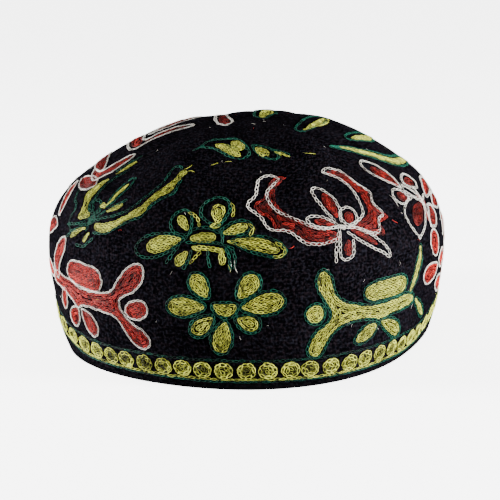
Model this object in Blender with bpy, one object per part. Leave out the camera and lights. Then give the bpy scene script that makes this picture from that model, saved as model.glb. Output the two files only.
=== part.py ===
"""Bukharan kippah: a round cloth cap with a side band, a domed crown of four gores and a plain hem.

Metres, +Z up. The cap stands on its hem at z = 0. The origin is its box's bottom centre, the front is -Y.
The cloth is one wall, worked out from a section that is carried round the cap:
- distance runs along the cloth, from the rim at 0 up the side band and over the crown to its centre
- azimuth runs anticlockwise from +X, seen from above
- depth runs into the wall from its outer face
"""

import math

import bpy
import numpy as np

# Driving sizes
CLOTH = 0.002
PIECE_GAP = 0.0003
HEM_TOP = 0.0029
BAND_SEAM = 0.057
CROWN_CENTRE = 0.179

# The outer face's slope in degrees (0 runs straight out, 90 is upright, 180 is level and runs inwards) at
# distances along the cloth. It changes evenly between two rows, so the section is a chain of arcs.
WALL_SLOPES = (
    # distance, slope
    (0.0, 73.0),
    (0.018, 83.0),
    (0.036, 87.0),
    (0.057, 97.5),
    (0.075, 122.0),
    (0.093, 142.0),
    (0.112, 149.0),
    (0.131, 156.0),
    (0.151, 170.5),
    (CROWN_CENTRE, 180.0),
)

# How far the plan departs from a circle, as a share of the radius. One lobe shifts it, two make it oval,
# three make it a little egg-shaped and four a little square.
PLAN_LOBES = (
    # lobes, share at the rim, its direction in degrees, share at the crown, its direction in degrees
    (1, 0.016, 180.0, 0.035, 180.0),
    (2, 0.060, 43.0, 0.040, 8.0),
    (3, 0.035, 52.0, 0.025, 55.0),
    (4, 0.009, 19.0, 0.002, -16.0),
)

# The gores' seams draw the crown in
GORE_SEAMS = (-147.0, -47.0, 42.0, 130.0)
GORE_NAMES = ("crown_gore_front", "crown_gore_right", "crown_gore_back", "crown_gore_left")
GORE_VALLEY = 0.0013
GORE_VALLEY_HALF_WIDTH = 0.007
VALLEY_FADE = 0.020

# Where the cloth has been pressed in
DENTS = (
    # azimuth in degrees, distance, depth, half width round the cap, half width up the cap
    (180.0, 0.029, 0.0015, 0.016, 0.007),
    (136.0, 0.146, 0.0008, 0.012, 0.014),
)

# How finely the solids are cut
ROUND_STEPS = 72
GORE_STEPS = 20
BAND_ROWS = 9
GORE_ROWS = 13
HEM_ROWS = 3
GORE_TIP = 0.0012
ROUNDED_EDGE = 0.0006
SECTION_STEPS = 400

CLOTH_COLOUR = (0.012, 0.011, 0.016, 1.0)
HEM_COLOUR = (0.010, 0.010, 0.013, 1.0)
CLOTH_ROUGHNESS = 0.9


def slope_at(distance):
    """Slope of the section in radians: straight lines between the rows of WALL_SLOPES."""
    table = np.array(WALL_SLOPES)
    return np.radians(np.interp(distance, table[:, 0], table[:, 1]))


def section_table():
    """Distance, radius and height along the section. Each short step is the chord of its own arc."""
    distance = np.linspace(0.0, CROWN_CENTRE, SECTION_STEPS)
    slope = slope_at(distance)
    turn = np.diff(slope)
    middle = (slope[1:] + slope[:-1]) / 2
    chord = np.diff(distance) * np.sinc(turn / (2 * math.pi))
    across = np.concatenate([[0.0], np.cumsum(chord * np.cos(middle))])
    height = np.concatenate([[0.0], np.cumsum(chord * np.sin(middle))])
    return distance, across - across[-1], height


SECTION = section_table()


def radius_at(distance):
    return np.interp(distance, SECTION[0], SECTION[1])


def height_at(distance):
    return np.interp(distance, SECTION[0], SECTION[2])


def plan_factor(azimuth, height):
    """Plan radius over section radius: 1 + the sum of share * cos(lobes * (azimuth - direction))."""
    crown_share = np.clip(height / height_at(BAND_SEAM), 0.0, 1.0)
    factor = 1.0
    for lobes, rim, rim_direction, crown, crown_direction in PLAN_LOBES:
        at_rim = rim * np.cos(lobes * (azimuth - math.radians(rim_direction)))
        at_crown = crown * np.cos(lobes * (azimuth - math.radians(crown_direction)))
        factor = factor + (1 - crown_share) * at_rim + crown_share * at_crown
    return factor


def angle_between(azimuth, other_degrees):
    """Signed difference of two azimuths in radians, between -pi and pi."""
    return (azimuth - math.radians(other_degrees) + math.pi) % (2 * math.pi) - math.pi


def hollow_at(distance, azimuth):
    """How far the outer face lies inside the smooth wall, at the bell-shaped gore valleys and dents."""
    radius = radius_at(distance)
    fade = np.clip((distance - BAND_SEAM) / VALLEY_FADE, 0.0, 1.0)
    nearest = np.min([np.abs(angle_between(azimuth, seam)) for seam in GORE_SEAMS], axis=0) * radius
    hollow = GORE_VALLEY * fade * np.exp(-((nearest / GORE_VALLEY_HALF_WIDTH) ** 2))
    for direction, middle, depth, half_round, half_up in DENTS:
        aside = angle_between(azimuth, direction) * radius / half_round
        above = (distance - middle) / half_up
        hollow = hollow + depth * np.exp(-(aside**2) - above**2)
    return hollow


def outline_centre():
    """Middle of the cap's box in plan, which the whole cap is shifted by."""
    azimuth = np.linspace(0.0, 2 * math.pi, 721)[None, :]
    distance = np.linspace(0.0, CROWN_CENTRE, 90)[:, None]
    x, y, _ = wall_point(distance, azimuth, 0.0, (0.0, 0.0))
    return (x.max() + x.min()) / 2, (y.max() + y.min()) / 2


def wall_point(distance, azimuth, depth, centre):
    """Point of the wall. It is depth inside the outer face, along the section's own normal."""
    inside = depth + hollow_at(distance, azimuth)
    slope = slope_at(distance)
    height = height_at(distance) + inside * np.cos(slope)
    radius = radius_at(distance) - inside * np.sin(slope)
    radius = radius * plan_factor(azimuth, height_at(distance))
    x = radius * np.cos(azimuth) - centre[0]
    y = radius * np.sin(azimuth) - centre[1]
    return np.broadcast_arrays(x, y, height)


CENTRE = outline_centre()


def strip_section(low, high, rows):
    """Distances and depths round a strip's closed section, up its outer face and down its inner one.

    The outer face has rows points and stops short of each edge, which is rounded off there.
    """
    outer = np.linspace(low + ROUNDED_EDGE, high - ROUNDED_EDGE, rows)
    inner = outer[-2:0:-1]
    distance = np.concatenate([[low], outer, [high, high], inner, [low]])
    edge = [ROUNDED_EDGE]
    depth = np.concatenate([edge, np.zeros(rows), edge, np.full(rows, CLOTH)])
    return distance, depth


def strip_end(rows):
    """Faces that close a strip_section, each from the outer face to the inner one behind it."""
    behind = 2 * rows + 2
    faces = [(0, 1, behind - 1)]
    faces += [(near, near + 1, behind - near - 1, behind - near) for near in range(1, rows)]
    faces.append((rows, rows + 1, rows + 2))
    return faces


def new_material(name, colour, roughness):
    material = bpy.data.materials.new(name)
    material.use_nodes = True
    shader = material.node_tree.nodes["Principled BSDF"]
    shader.inputs["Base Color"].default_value = colour
    shader.inputs["Roughness"].default_value = roughness
    return material


def new_piece(name, points, faces, material):
    """A mesh object from points and faces, with its cut edges sharp and the cloth between them smooth."""
    mesh = bpy.data.meshes.new(name)
    mesh.from_pydata([tuple(point) for point in points], [], [tuple(face) for face in faces])
    mesh.validate()
    mesh.materials.append(material)
    mesh.shade_smooth()
    mesh.set_sharp_from_angle(angle=math.radians(40))
    piece = bpy.data.objects.new(name, mesh)
    bpy.context.scene.collection.objects.link(piece)
    return piece


def grid_faces(columns, rows, columns_closed):
    """Quads of a grid of columns by rows. The rows close into a loop, and so may the columns."""
    faces = []
    for column in range(columns if columns_closed else columns - 1):
        near = column * rows
        beside = (column + 1) % columns * rows
        for row in range(rows):
            above = (row + 1) % rows
            faces.append((near + row, beside + row, beside + above, near + above))
    return faces


def ring_piece(name, distance, depth, material):
    """A closed section carried once round the cap. What lies at distance 0 is the level base, at z = 0."""
    azimuth = np.linspace(0.0, 2 * math.pi, ROUND_STEPS, endpoint=False)[:, None]
    x, y, z = wall_point(distance[None, :], azimuth, depth[None, :], CENTRE)
    z = np.where(distance[None, :] == 0.0, 0.0, z)
    points = np.stack([x, y, z], axis=-1).reshape(-1, 3)
    return new_piece(name, points, grid_faces(ROUND_STEPS, len(distance), True), material)


def make_side_band(material):
    distance, depth = strip_section(HEM_TOP + PIECE_GAP, BAND_SEAM - PIECE_GAP / 2, BAND_ROWS)
    return ring_piece("side_band", distance, depth, material)


def make_hem(material):
    """The folded strip under the band, on whose level base the cap stands."""
    distance, depth = strip_section(0.0, HEM_TOP, HEM_ROWS)
    return ring_piece("hem_binding", distance, depth, material)


def make_gore(name, start, end, material):
    """A crown gore, carried from one seam to the next. It ends just short of the crown's centre."""
    distance, depth = strip_section(BAND_SEAM + PIECE_GAP / 2, CROWN_CENTRE - GORE_TIP, GORE_ROWS)
    spread = math.radians((end - start) % 360.0)
    margin = np.arcsin(PIECE_GAP / 2 / radius_at(distance))[None, :]
    share = np.linspace(0.0, 1.0, GORE_STEPS)[:, None]
    azimuth = math.radians(start) + margin + share * (spread - 2 * margin)
    x, y, z = wall_point(distance[None, :], azimuth, depth[None, :], CENTRE)
    points = np.stack([x, y, z], axis=-1).reshape(-1, 3)
    rows = len(distance)
    last = (GORE_STEPS - 1) * rows
    faces = grid_faces(GORE_STEPS, rows, False)
    faces += strip_end(GORE_ROWS)
    faces += [tuple(last + row for row in reversed(face)) for face in strip_end(GORE_ROWS)]
    return new_piece(name, points, faces, material)


def clear_scene():
    for item in list(bpy.data.objects):
        bpy.data.objects.remove(item, do_unlink=True)


def main():
    clear_scene()
    cloth = new_material("black_cotton", CLOTH_COLOUR, CLOTH_ROUGHNESS)
    binding = new_material("black_binding", HEM_COLOUR, CLOTH_ROUGHNESS)
    make_side_band(cloth)
    make_hem(binding)
    for number, name in enumerate(GORE_NAMES):
        make_gore(name, GORE_SEAMS[number], GORE_SEAMS[(number + 1) % len(GORE_SEAMS)], cloth)


main()
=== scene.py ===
"""Bukharan kippah: black cotton cap with free-hand chain-stitch flowers, laid out as a Blender add-on.

Metres, +Z up, the front is -Y. The cap's cloth is one wall, worked out from a section carried round it:
distance runs along the cloth from the rim to the crown's centre, azimuth runs anticlockwise from +X and
depth runs into the wall. Every stitch is placed on that wall. Motifs are charted in millimetres on two
flat charts:
- on the band, x runs round the cap from the middle of its front and y runs up the cloth from the rim
- on the crown, the crown's centre is at 0, 0, x runs to +X and y to the back, each along the cloth
"""

import math

import bpy
import numpy as np
from bpy.props import FloatProperty, FloatVectorProperty, IntProperty, PointerProperty
from bpy.types import Operator, Panel, PropertyGroup
from mathutils import Matrix, Vector


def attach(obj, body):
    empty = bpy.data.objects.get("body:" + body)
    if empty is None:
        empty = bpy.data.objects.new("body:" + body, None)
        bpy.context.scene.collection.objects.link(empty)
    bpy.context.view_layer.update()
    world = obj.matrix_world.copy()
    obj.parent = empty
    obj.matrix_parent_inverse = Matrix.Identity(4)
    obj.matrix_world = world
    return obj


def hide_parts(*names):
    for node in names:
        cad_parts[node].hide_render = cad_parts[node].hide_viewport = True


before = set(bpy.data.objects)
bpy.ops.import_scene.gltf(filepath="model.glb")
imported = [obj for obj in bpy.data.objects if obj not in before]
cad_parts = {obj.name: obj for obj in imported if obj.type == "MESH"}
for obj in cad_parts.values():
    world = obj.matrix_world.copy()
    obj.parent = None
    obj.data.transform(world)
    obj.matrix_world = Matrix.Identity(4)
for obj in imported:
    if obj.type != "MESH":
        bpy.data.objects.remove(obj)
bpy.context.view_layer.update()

bl_info = {
    "name": "Bukharan Kippah",
    "version": (1, 0, 0),
    "blender": (4, 5, 0),
    "location": "View3D > Sidebar > Kippah",
    "description": "Builds a black cotton cap with chain-stitch embroidery",
    "category": "Add Mesh",
}

BODY = "root"
MM = 0.001
TURN = 2 * math.pi
TINY = 1e-9
SEED = 11

# The wall's own sizes, the same as the solids'
CLOTH = 0.002
HEM_TOP = 0.0029
BAND_SEAM = 0.057
CROWN_CENTRE = 0.179
WALL_SLOPES = (
    # distance, slope in degrees
    (0.0, 73.0),
    (0.018, 83.0),
    (0.036, 87.0),
    (0.057, 97.5),
    (0.075, 122.0),
    (0.093, 142.0),
    (0.112, 149.0),
    (0.131, 156.0),
    (0.151, 170.5),
    (CROWN_CENTRE, 180.0),
)
PLAN_LOBES = (
    # lobes, share at the rim, its direction in degrees, share at the crown, its direction in degrees
    (1, 0.016, 180.0, 0.035, 180.0),
    (2, 0.060, 43.0, 0.040, 8.0),
    (3, 0.035, 52.0, 0.025, 55.0),
    (4, 0.009, 19.0, 0.002, -16.0),
)
GORE_SEAMS = (-147.0, -47.0, 42.0, 130.0)
GORE_NAMES = ("crown_gore_front", "crown_gore_right", "crown_gore_back", "crown_gore_left")
GORE_VALLEY = 0.0013
GORE_VALLEY_HALF_WIDTH = 0.007
VALLEY_FADE = 0.020
DENTS = (
    # azimuth in degrees, distance, depth, half width round the cap, half width up the cap
    (180.0, 0.029, 0.0015, 0.016, 0.007),
    (136.0, 0.146, 0.0008, 0.012, 0.014),
)
SECTION_STEPS = 400
PLAN_STEPS = 721
PLAN_ROWS = 90

# The cloth's finer relief. Puckers calm down near the crown's centre and near the rim.
CREASE = {"distance": 0.1205, "azimuth": -90.0, "half_turn": 26.0, "depth": 0.0006, "half_width": 0.0013}
CREASE_FADE = 1.2
PUCKERS = (
    # waves round the cap, waves per metre up the cloth, height, phase
    (7, 11.0, 0.00022, 0.4),
    (11, 23.0, 0.00016, 2.1),
    (17, 37.0, 0.00010, 4.0),
)
PHASE_UP = 1.7
CALM_RADIUS = 0.03
CALM_RIM = 0.012

# How finely the cloth is cut and how its edges turn in: close together at the very edge
SEAM_GAP = 0.00003
EDGE_ROUND = 0.0003
EDGE_TURN = 1 - np.cos(np.linspace(0.0, math.pi / 2, 5))
GORE_TIP = 0.00012
GORE_EDGE_SHARE = 0.2
ROUND_STEPS = 420
GORE_STEPS = 90
BAND_ROWS = 30
HEM_ROWS = 5
GORE_ROWS = 46
# Step that normals are measured with, and the least radius for measures round the cap
NORMAL_STEP = 0.0002
LEAST_RADIUS = 0.002

# Chart of the band: x in millimetres is an angle round the cap times this radius
BAND_ROUND = 98.0
FRONT = -math.pi / 2
BAND_LENGTH = TURN * BAND_ROUND

# Rows of stitches on the charts, in millimetres
OUTLINE_STEP = 0.3
JOIN_GAP = 1.3
FEWEST_POINTS = 4
EDGE_SLACK = 0.06
FILL_SLACK = 0.45
ROW_ROUNDING = 0.2
ROW_TONE_SPREAD = 0.12
DEPTH_STEPS = 46
PETAL_STEPS = 48
PETAL_WIDEST = 0.6
END_SHAPES = {
    # how fast the width rises from an end: the power along the spine, and the power of the whole
    "round": (2.0, 0.5),
    "blunt": (4.5, 0.5),
    "point": (1.7, 0.85),
}
# A single row's pitch over a plain row's, its lift in millimetres and its thread over a plain thread
SINGLE_ROW = {"pitch": 1.1, "lift": 0.12, "thin": 0.74}
LINE_WIDTH = 1.1
# How far an edging row lies outside its shape in millimetres, and its width over a plain link's
EDGES = {"green": (0.75, 0.98), "white": (0.4, 0.7)}

# One link of chain stitch, in shares of its length or its thread's thickness, and the pad under it
LINK_STEPS = 8
THREAD_SIDES = 4
LINK_OVERLAP = 1.22
LINK_START = 0.12
LINK_SHARPNESS = 0.7
LINK_SEAT = 0.85
LINK_RISE = 0.45
PAD_HEIGHT = 0.00014
# The pad's tone is lowered as painted shade, dark inside and under the loop
PAD_PAINTED_SHADE = -3.0
PAD_WIDTH = 0.6
# How much links differ: shares of their width, length and pad, then tone, and metres aside and up
WIDTH_SPREAD = 0.13
LENGTH_SPREAD = 0.08
PAD_SPREAD = 0.3
TONE_SPREAD = 0.3
ASIDE_SPREAD = 0.00011
RISE_SPREAD = 0.00007

THREADS = {
    # thread: material slot, share of its colour in its dark tone, mostly painted shade, and what its light
    # tone, mostly a painted highlight, multiplies and adds
    "yellow": ("yellow_thread", 0.05, 2.8, 0.012),
    "ochre": ("yellow_thread", 0.25, 1.7, 0.01),
    "rosette": ("yellow_thread", 0.05, 2.8, 0.012),
    "green": ("green_thread", 0.15, 3.4, 0.002),
    "red": ("red_thread", 0.05, 2.8, 0.009),
    "white": ("white_thread", 0.3, 1.5, 0.01),
}
BRIGHTEST = 0.9
# Painted shade on a part of the cap: the red thread's tone is lowered there, more on the crown
BAND_PAINTED_SHADE = {"red": -0.3}
CROWN_PAINTED_SHADE = {"red": -0.7}


def slope_at(distance):
    """Slope of the section in radians: straight lines between the rows of WALL_SLOPES."""
    return np.radians(np.interp(distance, *np.transpose(WALL_SLOPES)))


def section_table():
    """Distance, radius and height along the section. Each short step is the chord of its own arc."""
    distance = np.linspace(0.0, CROWN_CENTRE, SECTION_STEPS)
    slope = slope_at(distance)
    middle = (slope[1:] + slope[:-1]) / 2
    chord = np.diff(distance) * np.sinc(np.diff(slope) / TURN)
    across = np.concatenate([[0.0], np.cumsum(chord * np.cos(middle))])
    height = np.concatenate([[0.0], np.cumsum(chord * np.sin(middle))])
    return distance, across - across[-1], height


SECTION = section_table()


def radius_at(distance):
    return np.interp(distance, SECTION[0], SECTION[1])


def height_at(distance):
    return np.interp(distance, SECTION[0], SECTION[2])


def plan_factor(azimuth, height):
    """Plan radius over section radius: 1 + the sum of share * cos(lobes * (azimuth - direction))."""
    crown_share = np.clip(height / height_at(BAND_SEAM), 0.0, 1.0)
    factor = 1.0
    for lobes, rim, rim_direction, crown, crown_direction in PLAN_LOBES:
        at_rim = rim * np.cos(lobes * (azimuth - math.radians(rim_direction)))
        at_crown = crown * np.cos(lobes * (azimuth - math.radians(crown_direction)))
        factor = factor + (1 - crown_share) * at_rim + crown_share * at_crown
    return factor


def angle_between(azimuth, other_degrees):
    """Signed difference of two azimuths in radians, between -pi and pi."""
    return (azimuth - math.radians(other_degrees) + math.pi) % TURN - math.pi


def hollow_at(distance, azimuth):
    """How far the outer face lies inside the smooth wall, at the bell-shaped gore valleys and dents."""
    radius = radius_at(distance)
    fade = np.clip((distance - BAND_SEAM) / VALLEY_FADE, 0.0, 1.0)
    nearest = np.min([np.abs(angle_between(azimuth, seam)) for seam in GORE_SEAMS], axis=0) * radius
    hollow = GORE_VALLEY * fade * np.exp(-((nearest / GORE_VALLEY_HALF_WIDTH) ** 2))
    for direction, middle, depth, half_round, half_up in DENTS:
        aside = angle_between(azimuth, direction) * radius / half_round
        above = (distance - middle) / half_up
        hollow = hollow + depth * np.exp(-(aside**2) - above**2)
    return hollow


def relief_at(distance, azimuth):
    """Finer relief, inwards: a crease that fades out to both sides, and low puckers as sums of sines."""
    aside = angle_between(azimuth, CREASE["azimuth"]) / math.radians(CREASE["half_turn"])
    above = (distance - CREASE["distance"]) / CREASE["half_width"]
    relief = CREASE["depth"] * np.exp(-(above**2)) * np.clip(CREASE_FADE - aside**2, 0.0, 1.0)
    calm = np.clip(radius_at(distance) / CALM_RADIUS, 0.0, 1.0) * np.clip(distance / CALM_RIM, 0.0, 1.0)
    for waves, up_waves, height, phase in PUCKERS:
        wave = np.sin(waves * azimuth + phase) * np.sin(TURN * up_waves * distance + PHASE_UP * phase)
        relief = relief + height * calm * wave
    return relief


def raw_point(distance, azimuth, inside):
    """Point of the wall about its own axis, inside the smooth outer face along the section's normal."""
    slope = slope_at(distance)
    height = height_at(distance) + inside * np.cos(slope)
    radius = radius_at(distance) - inside * np.sin(slope)
    radius = radius * plan_factor(azimuth, height_at(distance))
    x, y, z = np.broadcast_arrays(radius * np.cos(azimuth), radius * np.sin(azimuth), height)
    return np.stack([x, y, z], axis=-1)


def outline_centre():
    """Middle of the cap's box in plan, which the whole cap is shifted by."""
    azimuth = np.linspace(0.0, TURN, PLAN_STEPS)[None, :]
    distance = np.linspace(0.0, CROWN_CENTRE, PLAN_ROWS)[:, None]
    points = raw_point(distance, azimuth, hollow_at(distance, azimuth)).reshape(-1, 3)
    middle = (points.max(axis=0) + points.min(axis=0)) / 2
    return np.array([middle[0], middle[1], 0.0])


CENTRE = outline_centre()


def wall_point(distance, azimuth, depth=0.0):
    """Point of the dressed wall: depth and both reliefs along the section's normal, then the shift."""
    inside = depth + hollow_at(distance, azimuth) + relief_at(distance, azimuth)
    return raw_point(distance, azimuth, inside) - CENTRE


def unit(vectors):
    return vectors / np.linalg.norm(vectors, axis=-1, keepdims=True)


def wall_normal(distance, azimuth):
    """Unit normal that points out of the cloth: the cross product of small steps round and up it."""
    turn = NORMAL_STEP / np.maximum(radius_at(distance), LEAST_RADIUS)
    round_step = wall_point(distance, azimuth + turn) - wall_point(distance, azimuth - turn)
    up_step = wall_point(distance + NORMAL_STEP, azimuth) - wall_point(distance - NORMAL_STEP, azimuth)
    return unit(np.cross(round_step, up_step))


class BandChart:
    """Flat chart of the side band: azimuth = front + x / radius, distance = y."""

    @staticmethod
    def to_wall(points):
        return FRONT + points[:, 0] / BAND_ROUND, points[:, 1] * MM

    @staticmethod
    def true_scale(centre):
        return np.eye(2)


class CrownChart:
    """Flat chart of the crown: polar about its centre, at true lengths towards it but wide round it."""

    @staticmethod
    def to_wall(points):
        away = np.hypot(points[:, 0], points[:, 1]) * MM
        return np.arctan2(points[:, 1], points[:, 0]), CROWN_CENTRE - away

    @staticmethod
    def true_scale(centre):
        """Matrix that makes chart steps near centre true lengths: it narrows them round the crown."""
        away = np.hypot(*centre)
        outward = centre / max(away, TINY)
        aside = np.array([-outward[1], outward[0]])
        share = radius_at(CROWN_CENTRE - away * MM) / (max(away, LEAST_RADIUS / MM) * MM)
        return np.outer(outward, outward) + min(share, 1.0) * np.outer(aside, aside)


def smooth_line(points, closed=False, steps=16):
    """Catmull-Rom curve through the points: each span's end slopes are the chords beside it."""
    points = np.array(points, float)
    if closed:
        before, start, end, after = (np.roll(points, shift, axis=0) for shift in (1, 0, -1, -2))
    else:
        padded = np.concatenate([[2 * points[0] - points[1]], points, [2 * points[-1] - points[-2]]])
        before, start, end, after = padded[:-3], padded[1:-2], padded[2:-1], padded[3:]
    t = np.linspace(0.0, 1.0, steps, endpoint=False)[None, :, None]
    before, start, end, after = (item[:, None, :] for item in (before, start, end, after))
    curve = start + 0.5 * t * (end - before)
    curve = curve + t**2 * (before - 2.5 * start + 2 * end - 0.5 * after)
    curve = curve + t**3 * (-0.5 * before + 1.5 * start - 1.5 * end + 0.5 * after)
    curve = curve.reshape(-1, 2)
    return curve if closed else np.concatenate([curve, points[-1:]])


def lengths_along(line):
    return np.concatenate([[0.0], np.cumsum(np.linalg.norm(np.diff(line, axis=0), axis=-1))])


def placed_along(line, length, at):
    """Points of a line at the given lengths along it."""
    return np.stack([np.interp(at, length, line[:, axis]) for axis in (0, 1)], axis=-1)


def even_steps(outline, step):
    """The same closed outline with points a constant step apart, each found by its length along it."""
    line = np.concatenate([outline, outline[:1]])
    length = lengths_along(line)
    count = max(3, int(round(length[-1] / step)))
    return placed_along(line, length, np.linspace(0.0, length[-1], count + 1))[:-1]


def petal(spine, half_width, ends):
    """Outline about a spine, from one end to the other and back.

    Its half width rises from each end as (1 - (1 - t) ** a) ** b up to the widest place.
    """
    spine = smooth_line(spine)
    length = lengths_along(spine)
    share = (1 - np.cos(np.linspace(0.0, math.pi, PETAL_STEPS))) / 2
    middle = placed_along(spine, length, share * length[-1])
    along = unit(np.gradient(middle, share, axis=0, edge_order=1))
    aside = np.stack([-along[:, 1], along[:, 0]], axis=-1)
    (low_power, low_whole), (high_power, high_whole) = (END_SHAPES[end] for end in ends)
    low = np.clip(share / PETAL_WIDEST, 0.0, 1.0)
    high = np.clip((1 - share) / (1 - PETAL_WIDEST), 0.0, 1.0)
    width = (1 - (1 - low) ** low_power) ** low_whole * (1 - (1 - high) ** high_power) ** high_whole
    width = half_width * width[:, None]
    return np.concatenate([middle + aside * width, (middle - aside * width)[::-1]])


def inset_lines(outline, inset, slack):
    """Lines at a constant distance inside a closed outline, or outside it where inset is below 0.

    The outline is first turned anticlockwise, which its signed area tells. Every point moves along its
    normal, and those that come nearer than that to any stretch of the outline are dropped. What stays is
    cut where it jumps, and a piece that ends where it began is closed.
    """
    outline = even_steps(outline, OUTLINE_STEP)
    following = np.roll(outline, -1, axis=0)
    if np.sum(outline[:, 0] * following[:, 1] - following[:, 0] * outline[:, 1]) < 0:
        outline = outline[::-1]
    along = np.roll(outline, -2, axis=0) - np.roll(outline, 2, axis=0)
    along /= np.linalg.norm(along, axis=-1, keepdims=True) + TINY
    moved = outline + inset * np.stack([-along[:, 1], along[:, 0]], axis=-1)
    nearest = np.linalg.norm(moved[:, None, :] - outline[None, :, :], axis=-1).min(axis=1)
    kept = moved[nearest > abs(inset) - slack]
    if len(kept) < FEWEST_POINTS:
        return []
    jump = np.linalg.norm(kept - np.roll(kept, 1, axis=0), axis=-1) > JOIN_GAP
    if not jump.any():
        return [(kept, True)]
    first = int(np.argmax(jump))
    kept = np.roll(kept, -first, axis=0)
    cuts = np.flatnonzero(np.roll(jump, -first))[1:]
    pieces = [piece for piece in np.split(kept, cuts) if len(piece) > FEWEST_POINTS]
    return [(piece, np.linalg.norm(piece[0] - piece[-1]) < JOIN_GAP) for piece in pieces]


def depth_inside(outline):
    """Radius of the largest circle that fits an outline, found on a coarse grid of points inside it."""
    sides = np.linspace(outline.min(axis=0), outline.max(axis=0), DEPTH_STEPS)
    grid = np.stack(np.meshgrid(*sides.T), axis=-1).reshape(-1, 2)
    x, y = grid[:, :1], grid[:, 1:]
    following = np.roll(outline, -1, axis=0)
    run, rise = (following - outline).T
    rise = np.where(np.abs(rise) < TINY, TINY, rise)
    above = (outline[:, 1] > y) != (following[:, 1] > y)
    crossing = outline[:, 0] + run * (y - outline[:, 1]) / rise
    inside = np.sum(above & (x < crossing), axis=1) % 2 == 1
    points = even_steps(outline, OUTLINE_STEP)
    nearest = np.linalg.norm(grid[:, None, :] - points[None, :, :], axis=-1).min(axis=1)
    return float(np.max(np.where(inside, nearest, 0.0)))


class Stitching:
    """Rows of chain stitch that are sewn into one mesh. Each row is a line on a chart, in millimetres."""

    def __init__(self, chart, settings, tone):
        self.chart = chart
        self.pitch = settings.link_pitch / MM
        self.spacing = settings.row_spacing / MM
        # The part's painted shade, added to every row's tone
        self.tone = tone
        self.random = np.random.default_rng(SEED)
        self.starts = []
        self.ends = []
        self.sizes = []
        self.tones = []

    def row(self, line, closed=False, width=1.0, tone=0.0, pitch=1.0, lift=0.0, thin=1.0, padded=False):
        """Cuts a line into links of even true length, measured on the wall itself."""
        if closed:
            line = np.concatenate([line, line[:1]])
        azimuth, distance = self.chart.to_wall(line)
        azimuth = np.unwrap(azimuth)
        length = lengths_along(wall_point(distance, azimuth)) / MM
        count = int(round(length[-1] / (self.pitch * pitch)))
        if count < 1:
            return
        at = np.linspace(0.0, length[-1], count + 1)
        places = placed_along(np.stack([azimuth, distance], axis=-1), length, at)
        self.starts.append(places[:-1])
        self.ends.append(places[1:])
        self.sizes.append(np.tile([width, lift, thin, padded], (count, 1)))
        self.tones.append(np.full(count, self.tone + tone + self.random.normal(0.0, ROW_TONE_SPREAD)))

    def flattened(self, outline):
        """The outline at true lengths about its middle, and what puts its lines back on the chart."""
        centre = outline.mean(axis=0)
        scale = self.chart.true_scale(centre)
        back = np.linalg.inv(scale)
        return (outline - centre) @ scale.T, lambda line: line @ back.T + centre

    def fill(self, outline, grow=0.0):
        """Rows at even distances inside an outline, from grow outside it to its widest place's middle."""
        flat, put_back = self.flattened(outline)
        deepest = depth_inside(flat) + grow
        count = max(1, int(round(deepest / self.spacing + ROW_ROUNDING)))
        step = deepest / count
        for number in range(count):
            for line, closed in inset_lines(flat, (number + 0.5) * step - grow, FILL_SLACK * step):
                self.row(put_back(line), closed, padded=True)

    def edge(self, outline, gap, width):
        """One row round an outline, gap outside it."""
        flat, put_back = self.flattened(outline)
        for line, closed in inset_lines(flat, -gap, EDGE_SLACK):
            self.row(put_back(line), closed, width, **SINGLE_ROW)

    def line(self, points, width):
        """One row along a smooth curve through the points."""
        self.row(smooth_line(points), width=width, **SINGLE_ROW)


class Socket:
    """A node's output in an expression: each operator adds the Math node for it."""

    def __init__(self, finish, output):
        self.finish = finish
        self.output = output

    def math(self, operation, first, second=0.0):
        return self.finish.add("ShaderNodeMath", {"operation": operation}, {0: first, 1: second})

    def __add__(self, other):
        return self.math("ADD", self, other)

    def __mul__(self, other):
        return self.math("MULTIPLY", self, other)

    def __sub__(self, other):
        return self.math("SUBTRACT", self, other)

    def __rsub__(self, other):
        return self.math("SUBTRACT", other, self)

    def sine(self):
        return self.math("SINE", self)

    __radd__ = __add__
    __rmul__ = __mul__


class Finish:
    """A material around one Principled BSDF. add() makes any other node, its settings before its values."""

    def __init__(self, name, constants):
        self.material = bpy.data.materials.new(name)
        self.material.use_nodes = True
        self.tree = self.material.node_tree
        self.shader = self.tree.nodes["Principled BSDF"]
        self.feed(self.shader, constants)

    def feed(self, node, values):
        for socket, value in values.items():
            if isinstance(value, Socket):
                self.tree.links.new(value.output, node.inputs[socket])
            else:
                node.inputs[socket].default_value = value

    def add(self, kind, settings, values, output=0):
        node = self.tree.nodes.new(kind)
        for setting, value in settings.items():
            setattr(node, setting, value)
        self.feed(node, values)
        return Socket(self, node.outputs[output])

    def uv(self):
        """The piece's own UV map and its two values."""
        place = self.add("ShaderNodeUVMap", {"uv_map": "UVMap"}, {})
        u = self.add("ShaderNodeSeparateXYZ", {}, {0: place})
        return place, u, Socket(self, u.output.node.outputs[1])

    def spot(self):
        """The piece's Object coordinates."""
        return self.add("ShaderNodeTexCoord", {}, {}, "Object")

    def noise(self, place, scale, detail=2.0):
        return self.add("ShaderNodeTexNoise", {}, {"Vector": place, "Scale": scale, "Detail": detail})

    def step(self, value, low, high):
        """0 below low, 1 above high, and a smooth rise between them."""
        settings = {"interpolation_type": "SMOOTHSTEP"}
        return self.add("ShaderNodeMapRange", settings, {0: value, 1: low, 2: high})

    def patches(self, place, scale, detail, low, high):
        """Soft-edged patches of noise: 0 where it is below low and 1 where it is above high."""
        return self.step(self.noise(place, scale, detail), low, high)

    def mix(self, share, first, second):
        """Colour that goes from the first to the second as share goes from 0 to 1."""
        return self.add("ShaderNodeMix", {"data_type": "RGBA"}, {0: share, 6: first, 7: second}, 2)

    def bump(self, height, depth):
        """Normal of a height between 0 and 1, depth metres deep in all."""
        return self.add("ShaderNodeBump", {}, {"Height": height, "Distance": depth})


def opaque(colour):
    return (*colour[:3], 1.0)


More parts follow.
